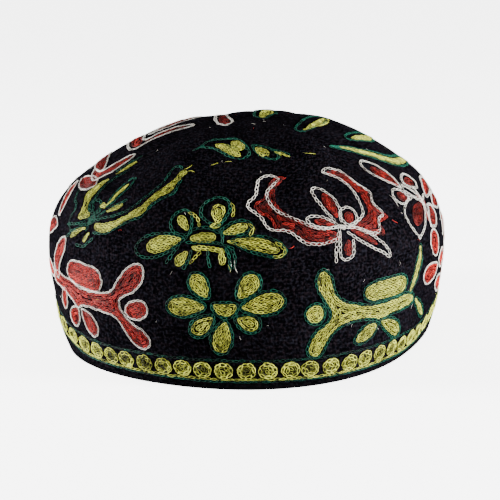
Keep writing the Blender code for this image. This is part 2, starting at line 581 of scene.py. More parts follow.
# Patches of noise on the cloth's UV: scale, detail, and the noise from which and at which they are full
SLUBS = (1.0, 2.0, 0.45, 0.75)
SPECKS = (2.3, 1.0, 0.70, 0.80)
MOTTLE = (0.75, 2.0, 0.42, 0.68)
HUES = (0.45, 1.0, 0.4, 0.6)
SLUB_STRETCHES = ((1.6, 0.14, 1.0), (0.14, 1.6, 1.0))
SPECK_COLOUR = (0.045, 0.045, 0.06, 1.0)
WARMER = (1.1, 0.8, 0.72)


def cloth_finish(name, dark, pale, settings):
    """Plain weave on the piece's UV in millimetres.

    Height is sin(u) * sin(v) of the threads' pitch, so warp and weft take turns on top. Slubs are noise
    drawn out along each way of the weave, and specks are the peaks of a fine noise.
    """
    finish = Finish(name, {"Roughness": 0.85, "Sheen Weight": 0.001, "Sheen Roughness": 0.35,
                           "Sheen Tint": (0.8, 0.82, 1.0, 1.0), "Specular IOR Level": 0.0})
    place, u, v = finish.uv()
    turn = TURN / (settings.weave_pitch / MM)
    weave = (u * turn).sine() * (v * turn).sine() * 0.5 + 0.5
    warp, weft = (finish.add("ShaderNodeMapping", {}, {"Vector": place, "Scale": stretch})
                  for stretch in SLUB_STRETCHES)
    slubs = finish.patches(warp, *SLUBS) + finish.patches(weft, *SLUBS)
    wear = finish.noise(place, 0.06, 3.0)
    shade = weave * 0.1 + slubs * 0.2 + wear * 0.4 + finish.patches(place, *MOTTLE) * 0.5 - 0.32
    warmer = tuple(part * share for part, share in zip(pale, WARMER))
    worn = finish.mix(finish.patches(place, *HUES), opaque(pale), opaque(warmer))
    colour = finish.mix(shade, opaque(dark), worn)
    colour = finish.mix(finish.patches(place, *SPECKS) * 0.55, colour, SPECK_COLOUR)
    height = weave * 0.55 + slubs * 0.45
    finish.feed(finish.shader, {"Base Color": colour, "Normal": finish.bump(height, settings.weave_depth)})
    return finish.material


def thread_finish(name, dark, plain, light, settings):
    """Twisted cotton: stripes wind round it by its UV, as bumps and as painted highlight and shade.

    Its shade adds up each link's tone, a blotchy noise and painted light on the thread: its upper side
    lighter and its underside darker.
    """
    finish = Finish(name, {"Roughness": 0.5, "Specular IOR Level": 0.12})
    _, along, across = finish.uv()
    tone = finish.add("ShaderNodeAttribute", {"attribute_name": "tone"}, {}, 2)
    blotch = finish.noise(finish.spot(), 900.0)
    # Painted light: the thread's upper side is lighter and its underside darker
    painted_top_light = (across * TURN).sine()
    shade = tone * 0.65 + blotch * 1.3 + painted_top_light * 0.7 - 1.05
    # The twist's stripes are a bump and, in the colour, a painted highlight and shade
    twist = (along * (TURN * settings.twists) + across * (2 * TURN)).sine() * 0.5 + 0.5
    light_share = finish.step(shade + twist * 0.35, 0.0, 0.75)
    dark_share = finish.step(0.25 - shade - twist * 0.35, 0.0, 0.7)
    colour = finish.mix(light_share, opaque(plain), opaque(light))
    colour = finish.mix(dark_share, colour, opaque(dark))
    normal = finish.bump(twist, settings.thickness * 0.12)
    finish.feed(finish.shader, {"Base Color": colour, "Normal": normal})
    return finish.material


def thread_material(thread, settings):
    """The finish of one thread, made once and shared by all pieces sewn with it."""
    dye = "yellow" if thread == "rosette" else thread
    name = dye + "_embroidery_cotton"
    if name in bpy.data.materials:
        return bpy.data.materials[name]
    colour = np.array(getattr(settings, dye))
    _, shade, light, glint = THREADS[thread]
    # The dark colour is mostly painted shade, and the lighter one mostly a painted highlight
    lighter = np.minimum(colour * light + glint, BRIGHTEST)
    return thread_finish(name, colour * shade, colour, lighter, settings)


def link_shape():
    """A link's centre line at even turns t, as shares of its length and half width, and its rise.

    along = (1 - cos t) / 2, aside = sin t * sin(t / 2) ** sharpness, rise = ((1 + cos t) / 2) ** 2: a drop
    whose narrow end starts over the round end of the link before it.
    """
    t = TURN * np.arange(LINK_STEPS) / LINK_STEPS
    return (1 - np.cos(t)) / 2, np.sin(t) * np.sin(t / 2) ** LINK_SHARPNESS, ((1 + np.cos(t)) / 2) ** 2


def ringed(line, side, normal, wide, high):
    """Points of four-sided tubes: the line's points + wide * cos f * side + high * sin f * normal."""
    f = TURN * np.arange(THREAD_SIDES) / THREAD_SIDES
    round_side = (wide * side)[..., None, :] * np.cos(f)[:, None]
    return line[..., None, :] + round_side + (high * normal)[..., None, :] * np.sin(f)[:, None]


def link_tubes(stitching, settings):
    """Tubes of all links as (points, closed, tone): the looped threads, and the pads under filled shapes.

    A loop's place is start + run * along + aside * half width + normal * rise. A pad runs straight from a
    link's start to its end under the loop, wide and flat, as the threads' undersides fill what the loop
    leaves open. Its tone is lowered as painted shade, so it shows dark in the loop's opening.
    """
    starts = np.concatenate(stitching.starts)
    ends = np.concatenate(stitching.ends)
    width, lift, thin, padded = np.concatenate(stitching.sizes).T
    count = len(starts)
    random = np.random.default_rng(SEED)
    start = wall_point(starts[:, 1], starts[:, 0])
    end = wall_point(ends[:, 1], ends[:, 0])
    middle = (starts + ends) / 2
    normal = wall_normal(middle[:, 1], middle[:, 0])
    run = end - start
    run -= normal * np.sum(run * normal, axis=-1, keepdims=True)
    length = np.linalg.norm(run, axis=-1, keepdims=True)
    run /= length
    aside = np.cross(normal, run)
    radius = settings.thickness / 2 * thin
    half_width = (settings.link_width * width / 2 - radius) * random.normal(1.0, WIDTH_SPREAD, count)
    loop_length = length[:, 0] * LINK_OVERLAP * random.normal(1.0, LENGTH_SPREAD, count)
    tone = np.concatenate(stitching.tones) + random.normal(0.0, TONE_SPREAD, count)
    under = padded > 0
    pad, across, upwards = (np.stack(pair, axis=1)[under]
                            for pair in ((start, end), (aside, aside), (normal, normal)))
    wide = PAD_WIDTH * half_width * random.normal(1.0, PAD_SPREAD, count)
    pads = ringed(pad, across, upwards, wide[under, None, None], PAD_HEIGHT)
    start = start - run * length * LINK_START + aside * random.normal(0.0, ASIDE_SPREAD, count)[:, None]
    along, across, rise = link_shape()
    height = (LINK_SEAT * radius + lift * MM)[:, None] + LINK_RISE * settings.thickness * rise
    height = height + random.normal(0.0, RISE_SPREAD, count)[:, None]
    normal = normal[:, None, :]
    line = start[:, None, :] + run[:, None, :] * (loop_length[:, None] * along)[:, :, None]
    line = line + aside[:, None, :] * (half_width[:, None] * across)[:, :, None]
    line = line + normal * height[:, :, None]
    side = unit(np.cross(normal, np.roll(line, -1, axis=1) - np.roll(line, 1, axis=1)))
    wide = radius[:, None, None]
    loops = ringed(line, side, np.broadcast_to(normal, line.shape), wide, wide)
    return [(loops, True, tone), (pads, False, tone[under] + PAD_PAINTED_SHADE)]


def grid_quads(place):
    """Corners of the quads of a grid of point numbers, columns by rows, seen from its outer side."""
    corners = (place[:-1, :-1], place[1:, :-1], place[1:, 1:], place[:-1, 1:])
    return np.stack(corners, axis=-1).reshape(-1, 4)


def new_piece(name, points, quads, uv, material):
    """A smooth mesh object from arrays: points, four corners a face, and the UV of each corner."""
    mesh = bpy.data.meshes.new(name)
    mesh.vertices.add(len(points))
    mesh.vertices.foreach_set("co", np.ascontiguousarray(points, np.float32).ravel())
    mesh.loops.add(quads.size)
    mesh.loops.foreach_set("vertex_index", np.ascontiguousarray(quads, np.int32).ravel())
    mesh.polygons.add(len(quads))
    mesh.polygons.foreach_set("loop_start", np.arange(0, quads.size, 4, dtype=np.int32))
    mesh.update(calc_edges=True)
    layer = mesh.uv_layers.new(name="UVMap")
    layer.data.foreach_set("uv", np.ascontiguousarray(uv, np.float32).ravel())
    mesh.validate()
    mesh.shade_smooth()
    mesh.materials.append(material)
    piece = bpy.data.objects.new(name, mesh)
    bpy.context.scene.collection.objects.link(piece)
    return piece


def tube_faces(places, closed):
    """Quads of one tube and their corners' UV, along and round it. It closes on itself or has two caps."""
    step = np.arange(places + closed)[:, None]
    side = np.arange(THREAD_SIDES + 1)[None, :]
    number = step % places * THREAD_SIDES + side % THREAD_SIDES
    grids = (number, step / places + 0 * side, side / THREAD_SIDES + 0 * step)
    quads, along, across = (grid_quads(grid)[:, ::-1] for grid in grids)
    if not closed:
        quads = np.concatenate([quads, [number[0, -2::-1], number[-1, :-1]]])
        along, across = (np.concatenate([item, np.zeros((2, THREAD_SIDES))]) for item in (along, across))
    return quads, np.stack([along, across], axis=-1)


def thread_piece(name, tubes, material):
    """One mesh of tubes, given as (points, closed, tone). Its UV runs along them and round them."""
    parts = []
    first = 0
    for tube, closed, tone in tubes:
        count, places = tube.shape[:2]
        quads, uv = tube_faces(places, closed)
        numbers = first + np.arange(count) * places * THREAD_SIDES
        phase = np.random.default_rng(SEED + 1).random(count)
        faces = (quads[None, :, :] + numbers[:, None, None]).reshape(-1, 4)
        uv = uv[None] + np.stack([phase, 0 * phase], axis=-1)[:, None, None, :]
        shades = np.repeat(tone, places * THREAD_SIDES)
        parts.append((tube.reshape(-1, 3), faces, uv.reshape(-1, 2), shades))
        first += count * places * THREAD_SIDES
    points, faces, uv, tones = (np.concatenate(item) for item in zip(*parts))
    piece = new_piece(name, points, faces, uv, material)
    shade = piece.data.attributes.new("tone", "FLOAT", "POINT")
    shade.data.foreach_set("value", tones.astype(np.float32))
    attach(piece, BODY)
    return piece


def rounded(near_edge, size):
    """How far a face turns in at its edge: a quarter circle of that size."""
    share = np.clip(near_edge / size, 0.0, 1.0)
    return size * (1 - np.sqrt(np.clip(1 - (1 - share) ** 2, 0.0, 1.0)))


def edge_spaced(low, high, count, edge):
    """Places from low to high, close together within edge of both ends, and even between."""
    turn = EDGE_TURN * edge
    between = np.linspace(low + edge, high - edge, count)[1:-1]
    return np.concatenate([low + turn, between, high - turn[::-1]])


def edge_strip(line, offset):
    """Quads from a run of outer points to the inner points behind them, offset further on."""
    return np.stack([line[1:], line[:-1], line[:-1] + offset, line[1:] + offset], axis=-1)


def cloth_wall(name, azimuth, distance, near_edge, edge, closed, material):
    """A closed wall of cloth over a grid of columns by rows: outer face, inner face and the strip between.

    Its faces join point numbers, and its UV is taken from grid places, which don't close round the cap. No
    point lies below the level base.
    """
    outer = wall_point(distance, azimuth, rounded(near_edge, edge))
    inner = wall_point(distance, azimuth, CLOTH)
    columns, rows = distance.shape
    count = columns - 1 if closed else columns
    place = np.arange(columns)[:, None] % count * rows + np.arange(rows)[None, :]
    spot = np.arange(columns * rows).reshape(columns, rows)
    faces = []
    for grid, behind in ((place, count * rows), (spot, 0)):
        loops = [grid[:, 0], grid[::-1, -1]]
        if not closed:
            loops += [grid[-1, :], grid[0, ::-1]]
        strips = [edge_strip(loop, behind) for loop in loops]
        faces.append(np.concatenate([grid_quads(grid), grid_quads(grid)[:, ::-1] + behind, *strips]))
    u = (azimuth - azimuth.mean()) * np.maximum(radius_at(distance), 0.0) / MM
    uv = np.stack([u.ravel(), (distance / MM).ravel()], axis=-1)[faces[1].ravel()]
    points = np.concatenate([outer[:count].reshape(-1, 3), inner[:count].reshape(-1, 3)])
    points[:, 2] = np.maximum(points[:, 2], 0.0)
    piece = new_piece(name, points, faces[0], uv, material)
    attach(piece, BODY)
    return piece


def ring_of_cloth(name, low, high, rows, material):
    """A strip that closes round the cap."""
    azimuth = np.linspace(0.0, TURN, ROUND_STEPS + 1)[:, None]
    distance = edge_spaced(low, high, rows, EDGE_ROUND)[None, :]
    azimuth, distance = np.broadcast_arrays(azimuth, distance)
    near_edge = np.minimum(distance - low, high - distance)
    return cloth_wall(name, azimuth, distance, near_edge, EDGE_ROUND, True, material)


def crown_gore(name, start, end, material):
    """One gore between two seams, down to its tip beside the crown's centre."""
    rows = edge_spaced(BAND_SEAM + SEAM_GAP, CROWN_CENTRE - GORE_TIP, GORE_ROWS, EDGE_ROUND)
    radius = radius_at(rows)
    across = math.radians((end - start) % 360.0) * radius - 2 * SEAM_GAP
    edge = np.minimum(EDGE_ROUND, GORE_EDGE_SHARE * across)
    turn = edge * EDGE_TURN[:, None]
    share = np.linspace(0.0, 1.0, GORE_STEPS)[1:-1, None]
    over = np.concatenate([turn, edge + share * (across - 2 * edge), across - turn[::-1]])
    azimuth = math.radians(start) + (SEAM_GAP + over) / radius
    near_edge = np.minimum(np.minimum(over, across - over), np.minimum(rows - rows[0], rows[-1] - rows))
    return cloth_wall(name, azimuth, np.broadcast_to(rows, over.shape), near_edge, edge, False, material)


FIBRE_STEPS = 7
FIBRE_TIP = 0.04
FIBRE_TONE_SPREAD = 0.4


def fibres(chart, places, heading, length, bend, thickness):
    """Loose fibres, thin at both ends: place + length * (s * way + bend * s * s * aside) for s in +-1/2."""
    s = np.linspace(-0.5, 0.5, FIBRE_STEPS)[None, :, None]
    way = np.stack([np.cos(heading), np.sin(heading)], axis=-1)[:, None, :]
    aside = np.stack([-way[..., 1], way[..., 0]], axis=-1)
    line = places[:, None, :] + length[:, None, None] * (s * way + bend[:, None, None] * s**2 * aside)
    azimuth, distance = chart.to_wall(line.reshape(-1, 2))
    normal = wall_normal(distance, azimuth).reshape(*line.shape[:2], 3)
    radius = thickness / 2 * np.sqrt(1 + FIBRE_TIP - 4 * s**2)
    middle = wall_point(distance, azimuth).reshape(normal.shape) + normal * radius
    side = unit(np.cross(normal, np.gradient(middle, axis=1)))
    tone = np.random.default_rng(SEED + 3).normal(0.0, FIBRE_TONE_SPREAD, len(places))
    return ringed(middle, side, normal, radius, radius), False, tone


# Lint on the cloth, and the heights on the band and the distance from the crown's centre it lies within
LINT = (
    # thread, chart, number of fibres
    ("white", BandChart, 60),
    ("white", CrownChart, 60),
    ("red", CrownChart, 26),
    ("yellow", BandChart, 16),
)
LINT_HEIGHTS = (17.0, 56.0)
LINT_AWAY = 120.0
LINT_LENGTHS = (0.8, 2.6)
LINT_BENDS = (-1.2, 1.2)
LINT_THICKNESS = 0.00009
# Loose ends of thread left by the sewer, on the crown's chart
TAILS = (
    # thread, x, y, heading in degrees, length, bend
    ("yellow", -34.0, -58.5, 20.0, 5.0, 0.5),
    ("yellow", -32.5, -61.5, -35.0, 4.0, -0.6),
    ("yellow", 27.0, -52.0, 8.0, 6.5, 0.25),
    ("yellow", -21.0, -60.5, 12.0, 4.0, 0.3),
    ("yellow", -14.0, -60.0, -8.0, 3.5, -0.3),
    ("white", 79.0, -47.0, 120.0, 6.0, 0.3),
    ("white", 74.0, -62.5, 150.0, 7.0, 0.2),
    ("white", -14.0, -119.0, -80.0, 6.0, 0.5),
    ("white", -16.0, -118.5, -100.0, 5.0, -0.6),
    ("yellow", -17.0, -119.0, -70.0, 4.0, -0.5),
    ("red", 18.0, -110.5, 30.0, 3.5, 0.4),
    ("red", 76.0, -75.0, 10.0, 4.0, 0.3),
    ("red", 14.0, -73.5, 40.0, 3.0, 0.5),
)
TAIL_THICKNESS = 0.00022


def scatter(chart, count, random):
    """Even random places on a chart, clear of the border and inside the crown."""
    if chart is BandChart:
        x = random.uniform(0.0, BAND_LENGTH, count)
        return np.stack([x, random.uniform(*LINT_HEIGHTS, count)], axis=-1)
    away = LINT_AWAY * np.sqrt(random.random(count))
    way = random.uniform(0.0, TURN, count)
    return np.stack([away * np.cos(way), away * np.sin(way)], axis=-1)


def points_of(row):
    return np.reshape(row, (-1, 2)).astype(float)


def patch_of(row):
    return smooth_line(points_of(row), closed=True, steps=8)


def petal_of(row):
    """Outline of a petal's row. One word shapes both ends, without any it goes from a point to round."""
    numbers = [item for item in row if not isinstance(item, str)]
    ends = row[len(numbers):] or ("point", "round")
    return petal(points_of(numbers[1:]), numbers[0], (ends[0], ends[-1]))


def sew_motif(threads, motif, shift=(0.0, 0.0), turned=False):
    """Sews one motif: its petals and patches are filled, its rings and lines are single rows."""
    def outlines(kind, outline_of):
        for thread, rows in motif.get(kind, {}).items():
            for row in rows:
                outline = outline_of(row)
                yield threads[thread], (-outline if turned else outline) + np.array(shift)

    filled = (("petals", petal_of, 0.0), ("patches", patch_of, motif.get("grow", 0.0)))
    for kind, outline_of, grow in filled:
        for stitching, outline in outlines(kind, outline_of):
            stitching.fill(outline, grow)
            if "edge" in motif:
                threads[motif["edge"]].edge(outline, *EDGES[motif["edge"]])
    for stitching, outline in outlines("rings", petal_of):
        stitching.edge(outline, 0.0, LINE_WIDTH)
    for stitching, points in outlines("lines", points_of):
        stitching.line(points, LINE_WIDTH)


# Motifs: rows of numbers for each thread, where places are x, y, x, y and so on. A petal or a ring is its
# half width and its spine from the flower outwards, and may end with the shapes of its ends. A patch is its
# closed outline and a line is one row by itself. Petals and patches are filled, patches to grow millimetres
# beyond their outline, and get one row of the edge's thread round them where the motif names one.

# Motifs of the side band, on the band's chart
BAND_YELLOW_FLOWER = {
    "edge": "green",
    "petals": {"yellow": (
        (4.0, -24.5, 45, -28, 50, -32, 55),
        (4.3, -25.5, 41, -35, 40.5, -44, 40),
        (3.8, -22, 36.5, -27, 32, -32.5, 28),
        (4.5, -16.5, 34.5, -18, 27, -19.5, 19),
        (3.8, -11.5, 35.5, -6, 33.5, -1, 31.5),
        (4.8, -9, 40.5, 0, 42, 11, 44),
        (4.2, -10, 45, -6, 50, -1, 55),
    )},
    "patches": {"yellow": (
        (-22, 42, -19, 42.4, -13, 42.4, -10.8, 41.8, -11.5, 39, -15.5, 36.2, -20.5, 38.4),
    )},
}
BAND_YELLOW_BRANCH = {
    "edge": "green",
    "petals": {"yellow": (
        (4.3, 21, 36, 25.3, 36, 29.6, 36, "round"),
        (4.5, 51.5, 42, 66, 42, 80, 42, "blunt"),
        (3.4, 46.5, 19.5, 53, 22.5, 60, 26, "round", "point"),
        (3.5, 62, 26.5, 70, 22.5, 78.5, 16.5),
        (1.8, 91, 31, 98, 25.5, 105, 19),
        (1.9, 84, 36, 88, 43, 91, 50, 92.5, 58, "round", "point"),
    )},
    "patches": {"yellow": (
        (30, 55.5, 33.5, 52, 34.5, 46, 38, 41, 45, 38, 55, 35.5, 70, 35.5, 80, 36, 87, 34.5, 88, 32, 87, 30,
         80, 29.5, 70, 29, 62, 28, 58, 29, 50, 30.5, 42, 30, 36, 28, 31, 23, 28, 17, 24.5, 15.5, 22, 18, 23,
         23, 27, 28, 32, 31, 34, 34.5, 31.5, 40.5, 28, 46, 27, 52),
    )},
}
BAND_RED_BRANCH = {
    "edge": "white",
    "petals": {"red": (
        (5.5, -107, 49, -95, 48, -81, 46.5, "blunt"),
        (4.2, -67, 35, -60, 36.5, -55, 38.5, "round"),
        (3.8, -99, 31, -103, 26, -105.5, 21),
        (4.2, -96, 31, -91, 25, -87.5, 19),
        (2.6, -110, 38, -112, 33, -113, 27, "round", "point"),
        (3.6, -117, 42, -119, 50, -112, 63, "round"),
        (2.6, -123, 42, -130, 44, -137, 46, "round"),
    )},
    "patches": {"red": (
        (-122, 44, -117, 45, -110, 43.5, -104, 43.5, -98, 41.5, -92, 40.5, -85, 41, -78, 42, -74, 44, -70,
         50, -66, 55, -62, 57.5, -58, 57, -57.5, 51.5, -61, 46, -67, 43, -71, 38.5, -68, 33, -63, 29, -57,
         26, -54, 21, -58, 18, -63, 20, -68, 26, -72, 31, -78, 32.5, -88, 33.5, -95, 33.5, -99, 31.5, -103,
         34, -110, 37.5, -122, 40),
    )},
}
BAND_RED_FLOWER = {
    "edge": "white",
    "petals": {"red": (
        (4.8, 121, 41, 108, 40, 98, 42),
        (5.2, 119, 48.5, 112.5, 54.5, 107, 60, "round"),
        (4.0, 119, 33, 129, 30, 139, 27.5, "round", "point"),
        (4.8, 138, 41, 151, 40, 161, 42),
        (4.5, 138, 50, 148, 54, 156, 58),
        (3.4, 142, 34, 150, 30.5, 157, 28),
        (4.6, 124, 43, 130, 43, 136, 43, "round"),
    )},
}
BAND_MOTIFS = (BAND_YELLOW_FLOWER, BAND_YELLOW_BRANCH, BAND_RED_BRANCH, BAND_RED_FLOWER)
BACK_SHIFTS = (302.5, 300.0, 304.0, 302.0)

# Motifs of the crown, on the crown's chart. Their outlines were sewn a little beside their fills.
CROWN_YELLOW_FLOWER = {
    "petals": {"yellow": (
        (3.9, -41, -99.5, -52, -97.5, -62, -94.5),
        (2.5, -37, -97, -41, -87.5),
        (4.0, -21, -98, -20, -87),
        (2.5, -19, -103, -12, -102, -5, -100.5),
        (3.2, -18, -107, 0, -110, 12, -112.5),
        (2.8, -39, -106, -48, -110),
        (2.6, -21, -109, -20.5, -118.5),
        (1.8, -26, -98, -19, -98.5, "round"),
    ), "ochre": (
        (2.6, -37, -101, -22, -104, "round"),
    )},
    "patches": {"yellow": (
        (-36.5, -104.5, -31, -105.8, -25.5, -107.8, -20, -109.5, -18.5, -112, -22, -111.5, -25.5, -110.2,
         -31.5, -108.3, -36, -107),
    )},
    "rings": {"green": (
        (5.5, -40, -100, -54, -97, -68, -92),
        (6.1, -37, -99, -42, -85.5),
        (7.9, -21, -99, -22, -83.5),
        (3.5, -20, -101.5, -3, -101),
        (4.3, -15, -107, 0, -110, 15, -113),
    )},
    "lines": {"green": (
        (-39.5, -101, -36, -98, -31, -97.2, -26, -98.8, -21, -102),
        (-39, -102, -31, -104.6, -24, -106.3, -18.5, -108.3, -14, -110.5),
        (-21, -100.5, -19, -103.5, -19.5, -107),
        (-43.5, -102, -48.5, -104.5, -53.5, -107),
        (-37, -106.5, -39.5, -110.2, -44, -113.2),
        (-28.3, -109, -28.8, -112.5, -28, -117),
        (-18.3, -110, -16.5, -114.5, -17, -120),
        (-15, -111, -13.5, -115, -14.5, -120),
    ), "yellow": (
        (-39.5, -112, -36, -110.2, -32, -108.5),
        (-35.5, -88, -32.5, -90, -31, -93.5, -31, -97),
        (-13.5, -88, -12, -91.5, -13, -96),
        (-5, -100, -2.5, -102.3, -4, -105),
        (9, -109, 13, -110.7, 14.5, -112.5, 12.5, -115, 8, -115.5),
    )},
}
CROWN_RED_HORNS = {
    "grow": 0.9,
    "petals": {"red": (
        (3.0, 42, -91, 33, -79.5),
        (2.0, 41, -94.5, 28, -96),
        (2.8, 49, -99, 51, -107),
        (1.6, 52, -94.5, 68, -93.5),
        (3.3, 45, -88.5, 50.5, -88, "round"),
    ), "white": (
        (1.5, 42.5, -95, 48, -94, "round"),
    )},
    "patches": {"red": (
        (13.5, -73, 9, -74, 6.5, -78, 5, -83, 3.5, -87, 0, -89, -1, -91, 2, -95, 6, -96, 8, -99, 10, -103,
         15, -102.5, 20, -103, 25, -106, 30, -106.5, 36, -105, 42, -102, 44, -99, 40, -99, 35, -99.5, 28,
         -99.5, 22, -98, 15, -95, 11, -93, 8.5, -89, 8, -84, 8.5, -80, 11, -76),
        (36, -64, 40, -62, 45, -61.5, 50, -63.5, 55, -66, 59, -68, 60, -71, 61, -75, 66, -76, 71, -74.5, 68,
         -79, 66, -82, 66.5, -84, 70, -85, 69, -87, 63, -90, 55, -93, 50, -94, 52, -91, 56, -87, 59, -83,
         59, -79, 57, -75, 54, -71, 50, -68, 45, -66, 40, -65.5, 36, -65),
    )},
    "rings": {"white": (
        (2.8, 43, -95, 25, -96),
        (4.6, 42.5, -88, 52.5, -87.5, "round"),
    )},
    "lines": {"white": (
        (11, -74, 9, -72.5, 5, -72, 1.5, -74, 0, -78, -0.5, -83, -2, -86, -5, -89, -5, -91.5, -2, -94, 1,
         -96, 3, -99, 4, -101.5, 7, -103, 12, -103, 16, -103, 19, -104.5, 24, -107, 30, -107, 36, -105.5,
         42, -101.5),
        (11, -74, 8, -78, 5, -82, 5, -86, 6.5, -90, 10, -93.5, 15, -95.5, 22, -97.5, 28, -99, 34, -98.5, 40,
         -96.5, 44, -94),
        (33, -65.5, 34.5, -62, 38, -60.5, 43, -60, 47, -61.5, 52, -64, 57, -64.5, 60.5, -67, 60.5, -71, 62,
         -73.5, 66, -74, 69, -75.5, 66.5, -78, 65, -82, 67, -86, 64, -89.5, 58, -91.5, 52, -92, 46, -94),
        (33, -65.5, 38, -65.5, 43, -66.5, 47, -69, 50.5, -72.5, 53, -77, 55, -81, 55.5, -84, 53, -88, 49,
         -92),
        (44, -92, 43, -87, 40, -82, 36, -79, 31, -77, 28, -78, 28, -81, 31, -85, 36, -90, 41, -93),
        (44, -97, 46, -108, 50, -109, 53.5, -105, 52, -98),
        (43.5, -95, 43, -105, 44.5, -112),
        (46, -94, 55, -91.5, 65, -91, 75, -91.5, 78.5, -94, 72, -95, 65, -96.5, 58, -97, 48, -96),
    )},
}
CROWN_RED_FLOWER = {
    "petals": {"red": (
        (3.8, 77, -49, 59, -46.5),
        (3.2, 80, -41, 86, -33),
        (3.0, 82, -52, 75.5, -59),
        (4.5, 92, -46, 90, -65),
        (4.5, 103, -49, 104, -36),
        (3.0, 96, -33, 97, -8),
        (3.0, 103, -30, 107, -12),
        (3.0, 121, -26, 113.5, -16),
        (3.0, 88, -43, 97, -43, "round"),
        (2.6, 94, -47, 102, -50, "round"),
    )},
    "rings": {"white": (
        (5.0, 78, -49, 54, -45),
        (4.8, 79, -43, 87, -30),
        (4.4, 83, -51, 73, -61),
        (5.4, 103, -51, 104, -34),
        (4.0, 96, -34, 97, -5),
        (4.0, 103, -32, 107, -9),
        (4.0, 122, -27, 113, -14),
    )},
    "lines": {"white": (
        (93, -43, 87, -47, 83, -54, 81, -62, 82.5, -67, 88, -69.5, 96, -69),
        (93, -43, 96.5, -50, 98, -60, 96, -69),
        (78, -46, 85, -43.5, 93, -42),
        (80, -50, 87, -47.5, 94, -44),
        (86, -39, 90, -41, 95, -44),
        (94, -35, 94, -42, 99, -48, 104, -51),
        (100, -36, 97, -42, 93, -45),
    )},
}
CROWN_YELLOW_HORNS = {
    "petals": {"yellow": (
        (2.0, -78, -61.5, -67, -64.5),
        (1.8, -77, -57.5, -63, -50),
        (1.8, -77, -58, -80, -51),
        (0.9, -69, -35.5, -57, -32.5, "point"),
        (1.8, -91, -58, -103, -52),
        (1.5, -90, -63, -97, -64),
    ), "green": (
        (3.0, -90, -57, -84, -57, "round"),
    )},
    "patches": {"yellow": (
        (-85, -62, -80, -67, -74, -70.5, -66, -72, -58, -71.5, -52, -68.5, -46, -66, -41, -63.5, -38, -59.5,
         -34, -61, -40, -66.5, -43, -71, -50, -72, -55, -74, -60, -77, -66, -75.5, -73, -74.5, -80, -73,
         -85, -68, -87, -63),
        (-90, -53, -93.5, -48.5, -91, -46, -88, -43, -86.5, -38, -83, -35.5, -77, -35, -72, -36, -76, -38.5,
         -81, -41.5, -85, -45, -87, -49, -86, -53),
    )},
    "rings": {"green": (
        (3.6, -77, -58, -60, -48),
        (3.4, -81, -57, -84, -46),
    )},
    "lines": {"green": (
        (-84, -60, -78, -65, -70, -69, -62, -69.5, -54, -67, -46, -62, -43, -57, -40, -54, -37, -57, -38,
         -60),
        (-88, -66, -82, -72, -74, -75, -66, -76.5, -60, -78, -54, -75, -48, -73.5, -42, -73, -40, -69, -38,
         -66),
        (-100, -44, -96, -50, -90, -55),
        (-88, -27, -92, -32, -92, -40, -98, -43, -100, -50, -97, -54),
        (-68, -33.5, -62, -31.5, -55, -30),
        (-101, -60, -97, -66, -90, -68),
        (-84.5, -52, -82.5, -46.5, -78, -41.5, -71, -38, -62, -36.5),
        (-92, -60, -86, -56, -80, -53),
        (-90, -52, -86, -57, -84, -62),
        (-91, -57, -85, -58, -78, -60),
        (-104, -49, -97, -53, -91, -56),
        (-76, -60, -70, -62, -66, -62.5),
    )},
}
CROWN_SMALL_LEAVES = {
    "petals": {"yellow": (
        (2.6, -20, -44, -15, -49, -8, -57, "round"),
        (2.8, -12, -44, -6, -52.5, "round"),
        (2.8, 0, -51, 6, -58, "round"),
        (1.0, 9, -54.5, 17, -57, "round", "point"),
    )},
    "rings": {"green": (
        (3.8, -2, -49, 11, -60),
    )},
    "lines": {"green": (
        (-27.5, -43.5, -22.5, -39.5, -14, -41, -7.5, -45, -3, -56, -9, -58.5, -15.5, -54, -21.5, -47.5,
         -27.5, -43.5),
        (8, -52.5, 12, -54, 17, -55.5),
        (-31, -45, -26, -43),
        (-15, -46, -9, -52),
    )},
}
CROWN_LONG_LEAVES = {
    "petals": {"yellow": (
        (3.0, 25, -27, 33, -14, 38, 2),
        (2.6, 50, -22, 58, -9, 63, 6, "round"),
        (2.3, 43, -37, 52, -34.5, 62, -31, 72, -25.5, 79, -15, 84, 2, "round"),
        (3.4, 4, -6, 8, 20, "round"),
    ), "green": (
        (1.3, 38, -38.5, 44, -37),
    )},
    "rings": {"green": (
        (5.0, 21, -30, 29, -15, 36, 7, "round", "point"),
        (4.6, 47, -25, 57, -9, 63, 11, "round", "point"),
        (4.0, 38, -39, 52, -35, 62, -31, 72, -25, 79, -14, 85, 6),
        (5.4, 3, -10, 8, 24, "round", "point"),
    )},
}
CROWN_RED_BUDS = {
    "petals": {"red": (
        (2.4, -15, 2, -14, -19, "round"),
        (3.5, -56, 5, -56, -16),
        (1.5, -52, -14, -40, -12.5, -31, -11.5),
        (1.6, -48, -3, -37, 2.5, -27, 6, "round"),
    )},
    "rings": {"white": (
        (3.6, -15.5, 5, -14, -22, "round"),
        (2.8, -50, -4, -37, 2.5, -25, 6.5, "round"),
    )},
    "lines": {"white": (
        (-61, 0, -60, -14, -57, -19, -52, -17, -42, -15, -31, -13, -28, -11.2, -31, -9.5, -42, -10, -52,
         -11, -52, 0, -56, 8, -61, 0),
    )},
}
CROWN_RED_LEFT = {
    "edge": "white",
    "petals": {"red": (
        (4.0, -86, -15, -84, -24, -80, -34),
        (3.4, -75, -23, -75, -8, -73, 9, "round"),
        (3.2, -104.5, -26.5, -98, -20, -89.5, -12, "round"),
        (4.0, -108, -32, -116, -12),
    )},
    "patches": {"red": (
        (-79, -15, -76, -24, -70, -25, -62, -24, -58, -25.5, -64, -29, -70, -31, -75, -30, -80, -28),
    )},
}
CROWN_MOTIFS = (
    CROWN_YELLOW_FLOWER,
    CROWN_RED_HORNS,
    CROWN_RED_FLOWER,
    CROWN_YELLOW_HORNS,
    CROWN_SMALL_LEAVES,
    CROWN_LONG_LEAVES,
    CROWN_RED_BUDS,
    CROWN_RED_LEFT,
)
BACK_MOTIFS = CROWN_MOTIFS[:5]
BACK_SHIFT = (0.0, 4.0)

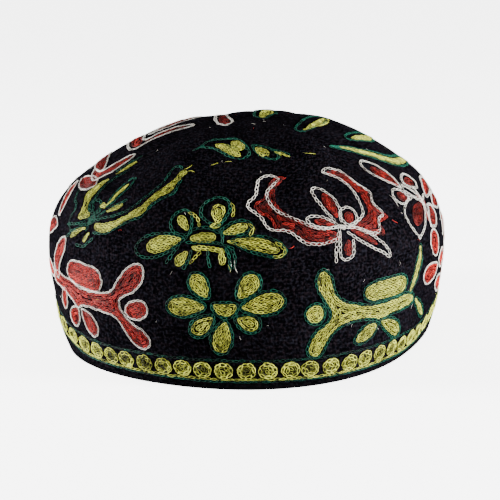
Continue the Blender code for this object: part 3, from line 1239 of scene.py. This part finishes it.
# The border of rosettes, in millimetres on the band's chart
ROSETTES = 60
FIRST_ROSETTE = 2.8
ROSETTE_TURNS = 2.5
ROSETTE_STEPS = 90
ROSETTE_INNER = 0.9
ROSETTE_OUTER = 3.5
ROSETTE_GROWS = 0.6
ROSETTE_WIDE = 1.12
ROSETTE_SHIFT = 0.25
ROSETTE_RISE = 0.12
ROSETTE_TONE_SPREAD = 0.15
ROSETTE_ROW = {"pitch": 1.22, "width": 1.35, "padded": True}
# Where a rosette's inner turns end, and what its inner and outer turns add to its tone
INNER_STEPS = 45
INNER_TONE = -0.6
OUTER_TONE = 0.3
BORDER_MIDDLE = 9.95
BORDER_WAVE = 1.0
BORDER_CLIMBS = (
    # place round the cap, climb, half length
    (-141.0, 11.5, 26.0),
    (148.0, 10.0, 29.0),
)
BORDER_STEPS = 700
BORDER_SWAY = 0.15
BORDER_SWAY_LENGTH = 17.0
BORDER_ROW = {"pitch": 1.15, "width": 0.92, "thin": 0.74}
BORDER_LINES = (
    # thread, height over the rosettes' middle, tone
    ("yellow", -4.35, 0.0),
    ("green", -5.45, -0.2),
    ("green", 5.1, -0.8),
)


def border_height(x):
    """Middle - wave * sin(x / radius), so lower at the right, plus a bell-shaped climb at each side."""
    height = BORDER_MIDDLE - BORDER_WAVE * np.sin(x / BAND_ROUND)
    for place, climb, half_length in BORDER_CLIMBS:
        past = (x - place + BAND_LENGTH / 2) % BAND_LENGTH - BAND_LENGTH / 2
        height = height + climb * np.exp(-((past / half_length) ** 2))
    return height


def sew_border(threads):
    """Rosettes as spirals, radius growing evenly with the turn up to its full size, between plain rows."""
    random = np.random.default_rng(SEED + 5)
    turn = np.linspace(0.0, TURN * ROSETTE_TURNS, ROSETTE_STEPS)
    grown = np.minimum(turn / turn[-1] / ROSETTE_GROWS, 1.0)
    radius = ROSETTE_INNER + (ROSETTE_OUTER - ROSETTE_INNER) * grown
    for number in range(ROSETTES):
        x = FIRST_ROSETTE + number * (BAND_LENGTH / ROSETTES) + random.normal(0.0, ROSETTE_SHIFT)
        way = turn + random.uniform(0.0, TURN)
        height = border_height(x) + random.normal(0.0, ROSETTE_RISE)
        line = np.stack([x + ROSETTE_WIDE * radius * np.cos(way), height + radius * np.sin(way)], axis=-1)
        tone = random.normal(0.0, ROSETTE_TONE_SPREAD)
        threads["rosette"].row(line[:INNER_STEPS + 1], tone=tone + INNER_TONE, **ROSETTE_ROW)
        threads["rosette"].row(line[INNER_STEPS:], tone=tone + OUTER_TONE, **ROSETTE_ROW)
    x = np.linspace(0.0, BAND_LENGTH, BORDER_STEPS)
    for thread, above, tone in BORDER_LINES:
        sway = BORDER_SWAY * np.sin(x / BORDER_SWAY_LENGTH + above)
        line = np.stack([x, border_height(x) + above + sway], axis=-1)
        threads[thread].row(line, tone=tone, **BORDER_ROW)


def colour_property(name, description, colour):
    return FloatVectorProperty(name=name, description=description, default=colour, subtype="COLOR", size=3,
                               min=0.0, max=1.0)


def length_property(name, description, metres):
    return FloatProperty(name=name, description=description, default=metres, unit="LENGTH", precision=5)


def place_property(name, description, place):
    return FloatVectorProperty(name=name, description=description, default=place, subtype="XYZ",
                               unit="LENGTH")


class ClothSettings(PropertyGroup):
    weave_pitch: length_property("Weave pitch", "Distance between two threads of the weave", 0.0005)
    weave_depth: length_property("Weave depth", "How deep the weave and its slubs are", 0.00012)
    cotton: colour_property("Cotton", "Colour of the cap's black cotton", (0.0004, 0.0004, 0.0006))
    cotton_pale: colour_property("Worn cotton", "Colour of its worn threads", (0.015, 0.0145, 0.021))
    binding: colour_property("Binding", "Colour of the hem's strip", (0.0006, 0.0006, 0.0008))
    binding_pale: colour_property("Worn binding", "Colour of its raised threads", (0.009, 0.009, 0.012))


class ThreadSettings(PropertyGroup):
    link_pitch: length_property("Link pitch", "Length that each chain stitch adds to its row", 0.0023)
    link_width: length_property("Link width", "Width of a chain stitch over its threads", 0.0016)
    row_spacing: length_property("Row spacing", "Distance between the rows of a filled shape", 0.00165)
    thickness: length_property("Thread thickness", "Thickness of the embroidery thread", 0.00032)
    twists: IntProperty(name="Twists", description="Turns of the thread's twist in one link", default=9)
    yellow: colour_property("Yellow", "Colour of the yellow thread", (0.238, 0.25, 0.027))
    ochre: colour_property("Ochre", "Colour of the few darker yellow stitches", (0.25, 0.26, 0.03))
    green: colour_property("Green", "Colour of the green thread", (0.0009, 0.033, 0.02))
    red: colour_property("Red", "Colour of the red thread", (0.23, 0.009, 0.006))
    white: colour_property("White", "Colour of the white thread", (0.62, 0.58, 0.52))


class StageSettings(PropertyGroup):
    lens: FloatProperty(name="Focal length", description="Millimetres, on a 36 mm sensor", default=98.14)
    roll: FloatProperty(name="Roll", description="How far the picture is turned anticlockwise",
                        default=0.0273, subtype="ANGLE")
    stand: place_property("Camera", "Where the camera stands", (0.0014866, -0.6853706, 0.2140516))
    target: place_property("Target", "Middle of the picture", (0.0014866, 0.0006294, 0.0430122))
    floor: colour_property("Floor", "Colour of the pale floor", (0.93, 0.93, 0.93))


def new_stitchings(chart, settings, tones):
    """Empty rows for every thread. A thread's tone on a part of the cap may be lowered there as painted
    shade.
    """
    return {thread: Stitching(chart, settings, tones.get(thread, 0.0)) for thread in THREADS}


def finish_stitchings(prefix, stitchings, settings):
    """Turns every thread that was used into a piece of its own."""
    for thread, stitching in stitchings.items():
        if stitching.starts:
            tubes = link_tubes(stitching, settings)
            material = thread_material(thread, settings)
            thread_piece(f"{prefix}_{thread}_stitches", tubes, material)


class KIPPAH_OT_side_band(Operator):
    """Make the upright side band of black cotton"""

    bl_idname = "kippah.side_band"
    bl_label = "Side Band"

    def execute(self, context):
        cloth = context.scene.kippah_cloth
        material = cloth_finish("woven_black_cotton", cloth.cotton, cloth.cotton_pale, cloth)
        low = HEM_TOP + SEAM_GAP
        piece = ring_of_cloth("side_band_cloth", low, BAND_SEAM - SEAM_GAP, BAND_ROWS, material)
        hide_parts("side_band")
        return {"FINISHED"}


class KIPPAH_OT_hem(Operator):
    """Make the turned-up strip that the cap stands on"""

    bl_idname = "kippah.hem"
    bl_label = "Hem"

    def execute(self, context):
        cloth = context.scene.kippah_cloth
        material = cloth_finish("woven_black_binding", cloth.binding, cloth.binding_pale, cloth)
        piece = ring_of_cloth("hem_cloth", 0.0, HEM_TOP - SEAM_GAP, HEM_ROWS, material)
        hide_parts("hem_binding")
        return {"FINISHED"}


class KIPPAH_OT_crown(Operator):
    """Make the four gores of the crown"""

    bl_idname = "kippah.crown"
    bl_label = "Crown Gores"

    def execute(self, context):
        ends = (*GORE_SEAMS[1:], GORE_SEAMS[0])
        for node, start, end in zip(GORE_NAMES, GORE_SEAMS, ends):
            piece = crown_gore(f"{node}_cloth", start, end, bpy.data.materials["woven_black_cotton"])
            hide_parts(node)
        return {"FINISHED"}


class KIPPAH_OT_band_motifs(Operator):
    """Sew the flowers and branches of the side band, four in front and four behind"""

    bl_idname = "kippah.band_motifs"
    bl_label = "Band Motifs"

    def execute(self, context):
        settings = context.scene.kippah_thread
        threads = new_stitchings(BandChart, settings, BAND_PAINTED_SHADE)
        for motif, shift in zip(BAND_MOTIFS, BACK_SHIFTS):
            sew_motif(threads, motif)
            sew_motif(threads, motif, (shift, 0.0))
        finish_stitchings("band", threads, settings)
        return {"FINISHED"}


class KIPPAH_OT_crown_motifs(Operator):
    """Sew the motifs of the crown"""

    bl_idname = "kippah.crown_motifs"
    bl_label = "Crown Motifs"

    def execute(self, context):
        settings = context.scene.kippah_thread
        threads = new_stitchings(CrownChart, settings, CROWN_PAINTED_SHADE)
        for motif in CROWN_MOTIFS:
            sew_motif(threads, motif)
        for motif in BACK_MOTIFS:
            sew_motif(threads, motif, BACK_SHIFT, turned=True)
        finish_stitchings("crown", threads, settings)
        return {"FINISHED"}


class KIPPAH_OT_border(Operator):
    """Sew the border of rosettes and the rows along it"""

    bl_idname = "kippah.border"
    bl_label = "Border"

    def execute(self, context):
        settings = context.scene.kippah_thread
        threads = new_stitchings(BandChart, settings, {})
        sew_border(threads)
        finish_stitchings("border", threads, settings)
        return {"FINISHED"}


class KIPPAH_OT_lint(Operator):
    """Scatter lint over the cloth and leave the sewer's loose thread ends"""

    bl_idname = "kippah.lint"
    bl_label = "Lint and Loose Ends"

    def execute(self, context):
        settings = context.scene.kippah_thread
        random = np.random.default_rng(SEED + 9)
        tubes = {}
        for thread, chart, count in LINT:
            lint = fibres(chart, scatter(chart, count, random), random.uniform(0.0, TURN, count),
                          random.uniform(*LINT_LENGTHS, count), random.uniform(*LINT_BENDS, count),
                          LINT_THICKNESS)
            tubes.setdefault(thread, []).append(lint)
        for thread, x, y, degrees, length, bend in TAILS:
            end = fibres(CrownChart, np.array([[x, y]]), np.radians([degrees]), np.array([length]),
                         np.array([bend]), TAIL_THICKNESS)
            tubes.setdefault(thread, []).append(end)
        for thread, parts in tubes.items():
            material = thread_material(thread, settings)
            thread_piece(f"{thread}_lint_and_ends", parts, material)
        return {"FINISHED"}


LIGHTS = (
    # name, place, width, power in watts
    ("right_light", (1.18, -0.45, 0.2), 0.3, 88.0),
    ("left_light", (-1.3, -0.03, 0.2), 0.3, 95.0),
    ("top_light", (0.0, 0.3, 1.2), 0.8, 0.6),
)
LIT_POINT = (0.0, 0.0, 0.05)
WORLD_STRENGTH = 0.25
WHITE = (1.0, 1.0, 1.0, 1.0)
FLOOR_GLOW = 5.0
FLOOR_HALF = 8.0
SENSOR_WIDTH = 36.0


def turn_towards(place, target):
    """Rotation of a light or camera at a place that faces a target."""
    return (Vector(target) - Vector(place)).to_track_quat("-Z", "Y")


def softbox(name, place, width, power):
    """A square area light at a place, facing the point that all lights face."""
    data = bpy.data.lights.new(name, "AREA")
    data.size = width
    data.energy = power
    light = bpy.data.objects.new(name, data)
    light.location = place
    light.rotation_euler = turn_towards(place, LIT_POINT).to_euler()
    bpy.context.scene.collection.objects.link(light)


def floor_finish(colour):
    """Pale matt floor with a faint grain on its Object coordinates."""
    finish = Finish("pale_floor", {"Roughness": 0.7, "Specular IOR Level": 0.2, "Emission Color": WHITE,
                                   "Emission Strength": FLOOR_GLOW})
    grain = finish.noise(finish.spot(), 40.0, 3.0)
    paler = tuple(min(part * 1.03, 1.0) for part in colour)
    finish.feed(finish.shader, {"Base Color": finish.mix(grain, opaque(colour), opaque(paler))})
    return finish.material


class KIPPAH_OT_stage(Operator):
    """Put down the pale floor, the studio lights and the camera"""

    bl_idname = "kippah.stage"
    bl_label = "Stage"

    def execute(self, context):
        scene = context.scene
        stage = scene.kippah_stage
        corners = FLOOR_HALF * np.array([[-1, -1, 0], [1, -1, 0], [1, 1, 0], [-1, 1, 0]])
        quad = np.arange(4)[None, :]
        floor = new_piece("studio_floor", corners, quad, corners[:, :2], floor_finish(stage.floor))
        # The glow is for the picture alone: it lights nothing
        floor.visible_diffuse = False
        floor.visible_glossy = False
        world = bpy.data.worlds.new("studio_world")
        world.use_nodes = True
        world.node_tree.nodes["Background"].inputs["Color"].default_value = WHITE
        world.node_tree.nodes["Background"].inputs["Strength"].default_value = WORLD_STRENGTH
        scene.world = world
        for light in LIGHTS:
            softbox(*light)
        data = bpy.data.cameras.new("camera")
        data.lens = stage.lens
        data.sensor_width = SENSOR_WIDTH
        camera = bpy.data.objects.new("camera", data)
        facing = turn_towards(stage.stand, stage.target).to_matrix() @ Matrix.Rotation(-stage.roll, 3, "Z")
        camera.matrix_world = Matrix.Translation(stage.stand) @ facing.to_4x4()
        scene.collection.objects.link(camera)
        scene.camera = camera
        return {"FINISHED"}


class KIPPAH_PT_panel(Panel):
    bl_label = "Kippah"
    bl_idname = "KIPPAH_PT_panel"
    bl_space_type = "VIEW_3D"
    bl_region_type = "UI"
    bl_category = "Kippah"

    def draw(self, context):
        for name, group in SETTINGS.items():
            box = self.layout.box()
            for setting in group.__annotations__:
                box.prop(getattr(context.scene, name), setting)
        for operator in OPERATORS:
            self.layout.operator(operator.bl_idname)


SETTINGS = {"kippah_cloth": ClothSettings, "kippah_thread": ThreadSettings, "kippah_stage": StageSettings}
OPERATORS = (
    KIPPAH_OT_stage,
    KIPPAH_OT_side_band,
    KIPPAH_OT_hem,
    KIPPAH_OT_crown,
    KIPPAH_OT_band_motifs,
    KIPPAH_OT_border,
    KIPPAH_OT_crown_motifs,
    KIPPAH_OT_lint,
)
CLASSES = (*SETTINGS.values(), *OPERATORS, KIPPAH_PT_panel)


def register():
    for item in CLASSES:
        bpy.utils.register_class(item)
    for name, group in SETTINGS.items():
        setattr(bpy.types.Scene, name, PointerProperty(type=group))


def unregister():
    for name in SETTINGS:
        delattr(bpy.types.Scene, name)
    for item in reversed(CLASSES):
        bpy.utils.unregister_class(item)


def main():
    register()
    for operator in OPERATORS:
        group, action = operator.bl_idname.split(".")
        getattr(getattr(bpy.ops, group), action)()


if __name__ == "__main__":
    main()
